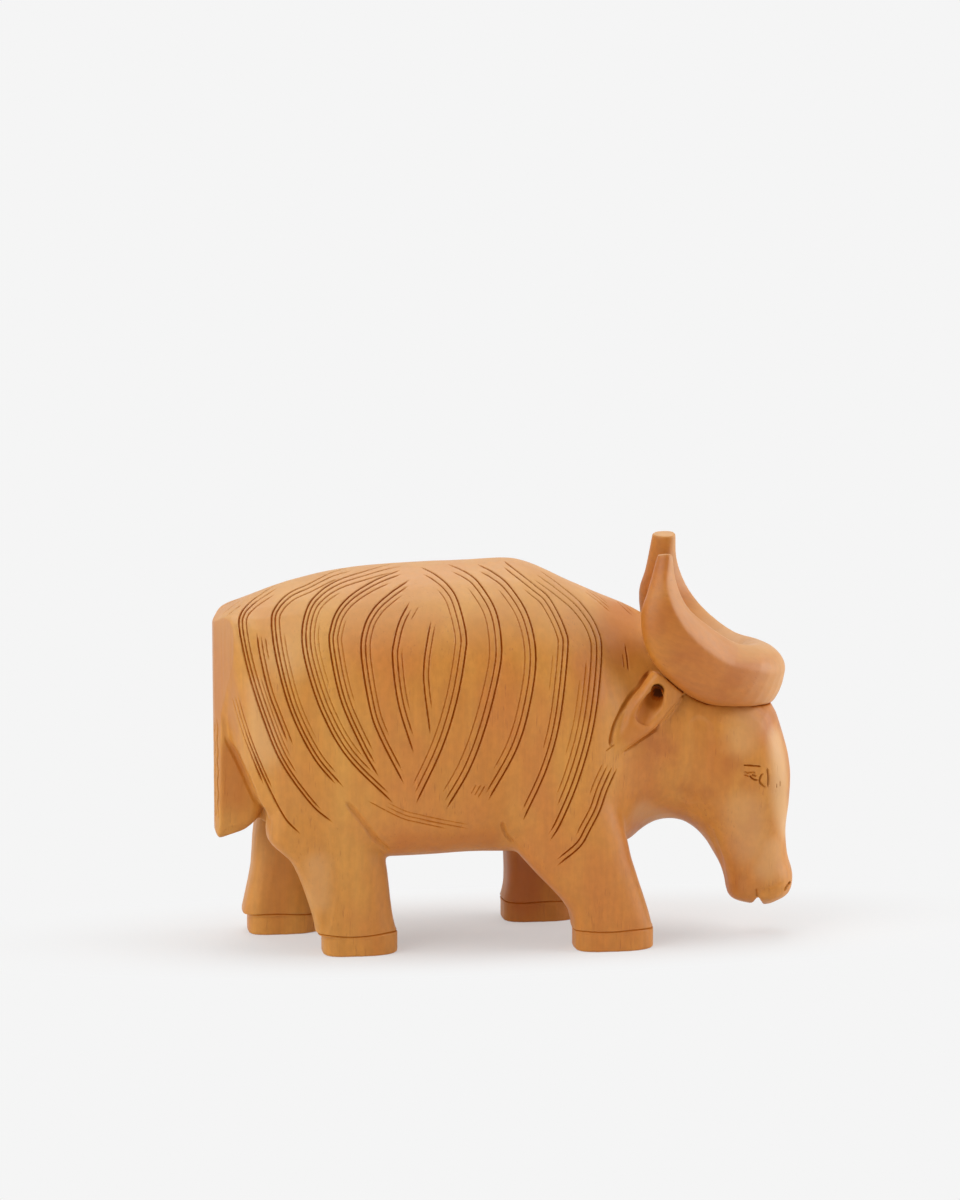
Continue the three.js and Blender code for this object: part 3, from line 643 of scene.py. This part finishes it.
# The wood, shared by all pieces: upright streaks, rosy clouds, specks and short dark pores.
wood = bpy.data.node_groups.new("Honey wood", "ShaderNodeTree")
for name, kind in (("Vector", "Vector"), ("Honey", "Color"), ("Pale", "Color"), ("Rosy", "Color"),
                   ("Pore", "Color")):
    wood.interface.new_socket(name, in_out="INPUT", socket_type="NodeSocket" + kind)
for name, kind in (("Color", "Color"), ("Roughness", "Float"), ("Height", "Float")):
    wood.interface.new_socket(name, in_out="OUTPUT", socket_type="NodeSocket" + kind)
grain_in = wood.nodes.new("NodeGroupInput")
grain_out = wood.nodes.new("NodeGroupOutput")


def stretched_noise(tree, vector, stretch, scale, detail):
    """Noise drawn out along the grain, which runs in Z."""
    scaled = tree.nodes.new("ShaderNodeVectorMath")
    scaled.operation = "MULTIPLY"
    scaled.inputs[1].default_value = (1, 1, stretch)
    tree.links.new(vector, scaled.inputs[0])
    noise = tree.nodes.new("ShaderNodeTexNoise")
    noise.inputs["Scale"].default_value = scale
    noise.inputs["Detail"].default_value = detail
    tree.links.new(scaled.outputs["Vector"], noise.inputs["Vector"])
    return noise.outputs["Fac"]


def between(tree, value, low, high, to_low=0.0, to_high=1.0):
    """Maps a range of the value smoothly to another."""
    node = tree.nodes.new("ShaderNodeMapRange")
    node.interpolation_type = "SMOOTHSTEP"
    for socket, number in zip(node.inputs[1:5], (low, high, to_low, to_high)):
        socket.default_value = number
    tree.links.new(value, node.inputs["Value"])
    return node.outputs["Result"]


def maths(tree, operation, *values, clamp=False):
    """The result of a Math node on other nodes' values and plain numbers."""
    node = tree.nodes.new("ShaderNodeMath")
    node.operation = operation
    node.use_clamp = clamp
    for socket, value in zip(node.inputs, values):
        if isinstance(value, (int, float)):
            socket.default_value = value
        else:
            tree.links.new(value, socket)
    return node.outputs["Value"]


def mixed(tree, share, under, over, blend="MIX"):
    """One colour laid over another by a share."""
    node = tree.nodes.new("ShaderNodeMix")
    node.data_type = "RGBA"
    node.blend_type = blend
    # A mix of colours has its colours on sockets 6 and 7 and its result on 2.
    for socket, value in ((node.inputs[0], share), (node.inputs[6], under), (node.inputs[7], over)):
        if isinstance(value, (int, float, tuple)):
            socket.default_value = value
        else:
            tree.links.new(value, socket)
    return node.outputs[2]


# Each noise has a stretch along the grain, a scale and a detail. Each map has the range of its noise
# and the range of values that it becomes.
STREAK_NOISE = (0.1, 60, 4)
FIBRE_NOISE = (0.04, 700, 3)
CLOUD_NOISE = (0.6, 34, 3)
PORE_NOISE = (0.09, 1500, 2)
PORE_PATCH_NOISE = (0.4, 90, 2)
SPECKLE_NOISE = (0.7, 420, 6)
STREAK_MAP = (0.3, 0.72, 0.1, 0.85)
CLOUD_MAP = (0.43, 0.68, 0, 0.75)
PORE_MAP = (0.6, 0.72)
PORE_PATCH_MAP = (0.42, 0.62)
FIBRE_MAP = (0.3, 0.7, 0.965, 1.03)
SPECKLE_MAP = (0.3, 0.7, 0.95, 1.05)
ROUGHNESS_MAP = (0.3, 0.7, 0.42, 0.52)
PORE_SHARE = 0.4
FIBRE_HEIGHT = 0.5

grain = grain_in.outputs["Vector"]
streak = stretched_noise(wood, grain, *STREAK_NOISE)
fibre = stretched_noise(wood, grain, *FIBRE_NOISE)
cloud = stretched_noise(wood, grain, *CLOUD_NOISE)
pore = between(wood, stretched_noise(wood, grain, *PORE_NOISE), *PORE_MAP)
pore_patch = between(wood, stretched_noise(wood, grain, *PORE_PATCH_NOISE), *PORE_PATCH_MAP)
pores = maths(wood, "MULTIPLY", pore, pore_patch)
speckle = stretched_noise(wood, grain, *SPECKLE_NOISE)
streaked = between(wood, streak, *STREAK_MAP)
tone = mixed(wood, streaked, grain_in.outputs["Honey"], grain_in.outputs["Pale"])
tone = mixed(wood, between(wood, cloud, *CLOUD_MAP), tone, grain_in.outputs["Rosy"])
shade = maths(wood, "MULTIPLY", between(wood, fibre, *FIBRE_MAP), between(wood, speckle, *SPECKLE_MAP))
fibre_tone = wood.nodes.new("ShaderNodeVectorMath")
fibre_tone.operation = "SCALE"
wood.links.new(tone, fibre_tone.inputs[0])
wood.links.new(shade, fibre_tone.inputs["Scale"])
pored = maths(wood, "MULTIPLY", pores, PORE_SHARE)
tone = mixed(wood, pored, fibre_tone.outputs["Vector"], grain_in.outputs["Pore"])
wood.links.new(tone, grain_out.inputs["Color"])
wood.links.new(between(wood, fibre, *ROUGHNESS_MAP), grain_out.inputs["Roughness"])
height = maths(wood, "SUBTRACT", maths(wood, "MULTIPLY", fibre, FIBRE_HEIGHT), pores)
wood.links.new(height, grain_out.inputs["Height"])


def linear(red, green, blue):
    """A colour seen in the photograph, as light values."""
    seen = np.array((red, green, blue)) / 255
    light = np.where(seen <= 0.04045, seen / 12.92, ((seen + 0.055) / 1.055) ** 2.4)
    return (*light.tolist(), 1.0)


# The tones of the finish. The rear is paler by its factors, and hands have smudged
# the head.
# The cuts' stain, also used as painted shade in the creases and round the ears.
CUT_STAIN_AND_SHADE = linear(138, 59, 2)
# Painted shade: the darkest tone, in the ear holes, the nostrils and the deepest cuts.
DEEPEST_SHADE = linear(66, 30, 12)
ROSE = linear(178, 115, 60)
PORE = linear(140, 74, 26)
SMUDGE = linear(156, 82, 26)
# The paler tone of the painted highlights and sheen.
PAINTED_HIGHLIGHT = linear(207, 163, 112)
# The deeper tone of the painted shade in sheltered places.
SHELTER_SHADE = linear(170, 90, 18)
REAR_PALING = (1.03, 1.12, 1.25, 1.0)
REAR_PALING_X = (0.0, -0.09)
HEAD_X = (0.03, 0.06)
SMUDGE_NOISE = (1, 70, 4)
SMUDGE_MAP = (0.46, 0.7, 0, 0.4)
ROSE_SHARE = 0.55
CUT_STAIN_AND_SHADE_MAP = (0.05, 0.95, 0, 0.95)
DEEPEST_SHADE_MAP = (1.0, 1.5, 0, 0.9)
CUT_ROUGHNESS_MAP = (0.05, 0.8, 0, 0.45)
CUT_SPECULAR_MAP = (0.05, 0.6, 0.4, 0.05)
BUMP_STRENGTH = 0.5
BUMP_DISTANCE = 0.0001


def marked(tree, name):
    """The value that a piece's points have under a name, and 0 where they have none."""
    node = tree.nodes.new("ShaderNodeAttribute")
    node.attribute_name = name
    return node.outputs["Fac"]


def wooden(name, honey, pale, rosy, grain_turn):
    """A satin wood finish with the stain in its cuts."""
    material = bpy.data.materials.new(name)
    material.use_nodes = True
    tree = material.node_tree
    shader = tree.nodes["Principled BSDF"]
    place = tree.nodes.new("ShaderNodeTexCoord")
    turned = tree.nodes.new("ShaderNodeMapping")
    turned.inputs["Rotation"].default_value = grain_turn
    tree.links.new(place.outputs["Object"], turned.inputs["Vector"])
    grain = tree.nodes.new("ShaderNodeGroup")
    grain.node_tree = wood
    tree.links.new(turned.outputs["Vector"], grain.inputs["Vector"])
    for socket, colour in (("Honey", honey), ("Pale", pale), ("Rosy", rosy), ("Pore", PORE)):
        grain.inputs[socket].default_value = colour
    parts = tree.nodes.new("ShaderNodeSeparateXYZ")
    tree.links.new(place.outputs["Object"], parts.inputs["Vector"])
    rear_share = between(tree, parts.outputs["X"], *REAR_PALING_X)
    rear = mixed(tree, rear_share, grain.outputs["Color"], REAR_PALING, "MULTIPLY")
    handled = between(tree, stretched_noise(tree, place.outputs["Object"], *SMUDGE_NOISE), *SMUDGE_MAP)
    smudged = maths(tree, "MULTIPLY", between(tree, parts.outputs["X"], *HEAD_X), handled)
    front = mixed(tree, smudged, rear, SMUDGE)
    # Painted highlight and sheen on the high places.
    painted_light = mixed(tree, marked(tree, "painted_highlight"), front, PAINTED_HIGHLIGHT)
    # Painted shade darkens the sheltered places.
    low = mixed(tree, marked(tree, "deep"), painted_light, SHELTER_SHADE)
    bare = mixed(tree, maths(tree, "MULTIPLY", marked(tree, "rose"), ROSE_SHARE), low, ROSE)
    # The cuts' stain and the painted shade of creases, holes and the joint.
    cut = marked(tree, "darkening")
    darkened = mixed(tree, between(tree, cut, *CUT_STAIN_AND_SHADE_MAP), bare, CUT_STAIN_AND_SHADE)
    deepest_shaded = mixed(tree, between(tree, cut, *DEEPEST_SHADE_MAP), darkened, DEEPEST_SHADE)
    tree.links.new(deepest_shaded, shader.inputs["Base Color"])
    rough = maths(tree, "ADD", grain.outputs["Roughness"], between(tree, cut, *CUT_ROUGHNESS_MAP))
    tree.links.new(rough, shader.inputs["Roughness"])
    bump = tree.nodes.new("ShaderNodeBump")
    bump.inputs["Strength"].default_value = BUMP_STRENGTH
    bump.inputs["Distance"].default_value = BUMP_DISTANCE
    tree.links.new(grain.outputs["Height"], bump.inputs["Height"])
    tree.links.new(bump.outputs["Normal"], shader.inputs["Normal"])
    tree.links.new(between(tree, cut, *CUT_SPECULAR_MAP), shader.inputs["Specular IOR Level"])
    return material


BODY_HONEY = linear(182, 112, 38)
BODY_PALE = linear(196, 134, 55)
BODY_ROSY = linear(184, 109, 43)
UPRIGHT = (0, 0, 0)
body.data.materials.append(wooden("sanded_wood", BODY_HONEY, BODY_PALE, BODY_ROSY, UPRIGHT))
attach(body, "root")
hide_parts("carved_body")

# Horns
# Both horns and the boss between them are one crescent from a second block of the same wood, a tone
# deeper. It is sawn to the curve, rounded with a rasp down to a ridge along the top, sanded, and
# glued on two pegs.
HORN_VOXEL = 0.0005
HORN_FACES = 60000
HORN_PASSES = 12
HORN_SWELL = 0.0001
HORN_TOP_HIGHLIGHT = 0.6
HORN_TOP_FACING = (0.35, 0.9)
HORN_FRONT_HIGHLIGHT = 0.45
HORN_FRONT_FACING = (0.1, 0.9)
HORN_HONEY = linear(174, 103, 32)
HORN_PALE = linear(188, 122, 46)
HORN_ROSY = linear(176, 102, 38)
HORN_GRAIN_TURN = (0, 1.2, 0)
horns = copied("horn_crescent", "bull_horns")
worked(horns, "REMESH", mode="VOXEL", voxel_size=HORN_VOXEL)
worked(horns, "SMOOTH", factor=SMOOTHING, iterations=HORN_PASSES)
worked(horns, "DISPLACE", strength=HORN_SWELL, mid_level=0)
facing = facings(horns)
# The horns' upward and forward faces get a painted highlight where the light falls on them.
highlight_top = HORN_TOP_HIGHLIGHT * fade(facing[:, 2], *HORN_TOP_FACING)
highlight_front = HORN_FRONT_HIGHLIGHT * fade(facing[:, 0], *HORN_FRONT_FACING)
mark(horns, "painted_highlight", np.maximum(highlight_top, highlight_front))
worked(horns, "TRIANGULATE")
worked(horns, "DECIMATE", ratio=min(1, HORN_FACES / len(horns.data.polygons)))
bpy.ops.object.shade_smooth_by_angle(angle=CRISP_ANGLE)
worked(horns, "WEIGHTED_NORMAL", keep_sharp=True)
horns.data.materials.append(wooden("horn_wood", HORN_HONEY, HORN_PALE, HORN_ROSY, HORN_GRAIN_TURN))
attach(horns, "root")
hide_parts("horn_crescent")

# Pegs
# Two turned dowels of plain wood stand in drilled holes in the head and hold the horns. They are
# glued in and hidden in the joint, so the CAD's own solids serve as they are.
PEG_HONEY = linear(190, 142, 90)
PEG_PALE = linear(205, 160, 108)
PEG_ROSY = linear(190, 140, 96)
peg_finish = wooden("peg_wood", PEG_HONEY, PEG_PALE, PEG_ROSY, UPRIGHT)
for side in ("right", "left"):
    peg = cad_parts["horn_peg_" + side]
    peg.data.materials.clear()
    peg.data.materials.append(peg_finish)

# Floor, lamps and backdrop
# A pale seamless sheet under three large soft lamps, from the left, the right and above, with the
# white room all round. The paper glows by itself away from the bull and keeps the shadow near it.
PAPER = linear(245, 245, 245)
SHADED_PAPER = linear(228, 228, 228)
FLOOR_SIZE = 12
SHADOW_SQUEEZE = (1, 3, 1)
SHADOW_SHIFT = (0, -0.03, 0)
GLOW_MAP = (0.1, 0.24, 0.42, 1.0)
bpy.ops.mesh.primitive_plane_add(size=FLOOR_SIZE)
floor = bpy.context.object
floor.name = "floor"
paper = bpy.data.materials.new("paper")
paper.use_nodes = True
tree = paper.node_tree
tree.nodes.remove(tree.nodes["Principled BSDF"])
matte = tree.nodes.new("ShaderNodeBsdfDiffuse")
glow = tree.nodes.new("ShaderNodeEmission")
glow.inputs["Color"].default_value = PAPER
seen = tree.nodes.new("ShaderNodeLightPath")
tree.links.new(mixed(tree, seen.outputs["Is Camera Ray"], PAPER, SHADED_PAPER), matte.inputs["Color"])
rays = maths(tree, "ADD", seen.outputs["Is Camera Ray"], seen.outputs["Is Glossy Ray"])
direct = maths(tree, "ADD", rays, seen.outputs["Is Transmission Ray"], clamp=True)
spot = tree.nodes.new("ShaderNodeTexCoord")
squeezed = tree.nodes.new("ShaderNodeVectorMath")
squeezed.operation = "MULTIPLY_ADD"
squeezed.inputs[1].default_value = SHADOW_SQUEEZE
squeezed.inputs[2].default_value = SHADOW_SHIFT
tree.links.new(spot.outputs["Object"], squeezed.inputs[0])
far = tree.nodes.new("ShaderNodeVectorMath")
far.operation = "LENGTH"
tree.links.new(squeezed.outputs["Vector"], far.inputs[0])
share = between(tree, far.outputs["Value"], *GLOW_MAP)
blend = tree.nodes.new("ShaderNodeMixShader")
tree.links.new(maths(tree, "MULTIPLY", share, direct), blend.inputs[0])
tree.links.new(matte.outputs["BSDF"], blend.inputs[1])
tree.links.new(glow.outputs["Emission"], blend.inputs[2])
tree.links.new(blend.outputs["Shader"], tree.nodes["Material Output"].inputs["Surface"])
floor.data.materials.append(paper)

BULL_MIDDLE = Vector((0, 0, 0.08))


def lamp(name, place, size, power):
    """A square soft lamp, aimed at the middle of the bull."""
    data = bpy.data.lights.new(name, "AREA")
    data.size = size
    data.energy = power
    light = bpy.data.objects.new(name, data)
    light.location = place
    light.rotation_mode = "QUATERNION"
    light.rotation_quaternion = (BULL_MIDDLE - Vector(place)).to_track_quat("-Z", "Y")
    scene.collection.objects.link(light)


lamp("key", place=(-1.35, -0.75, 0.9), size=1.6, power=22)
lamp("fill", place=(1.34, -0.22, 0.48), size=1.3, power=18.5)
lamp("top", place=(0, 0.45, 1.35), size=1.0, power=8.4)

# The room lights the bull evenly. The camera sees it as white paper, and so do reflections behind.
ROOM_LIGHT = 0.37
MIRRORED_Y = (-0.85, -0.1)
world = bpy.data.worlds.new("room")
scene.world = world
world.use_nodes = True
tree = world.node_tree
room = tree.nodes["Background"]
room.inputs["Color"].default_value = (1, 1, 1, 1)
room.inputs["Strength"].default_value = ROOM_LIGHT
backdrop = tree.nodes.new("ShaderNodeBackground")
backdrop.inputs["Color"].default_value = PAPER
seen = tree.nodes.new("ShaderNodeLightPath")
direction = tree.nodes.new("ShaderNodeTexCoord")
parts = tree.nodes.new("ShaderNodeSeparateXYZ")
tree.links.new(direction.outputs["Generated"], parts.inputs["Vector"])
behind = between(tree, parts.outputs["Y"], *MIRRORED_Y)
mirror = seen.outputs["Is Glossy Ray"]
shown = maths(tree, "MULTIPLY_ADD", mirror, behind, seen.outputs["Is Camera Ray"], clamp=True)
blend = tree.nodes.new("ShaderNodeMixShader")
tree.links.new(shown, blend.inputs[0])
tree.links.new(room.outputs["Background"], blend.inputs[1])
tree.links.new(backdrop.outputs["Background"], blend.inputs[2])
tree.links.new(blend.outputs["Shader"], tree.nodes["World Output"].inputs["Surface"])
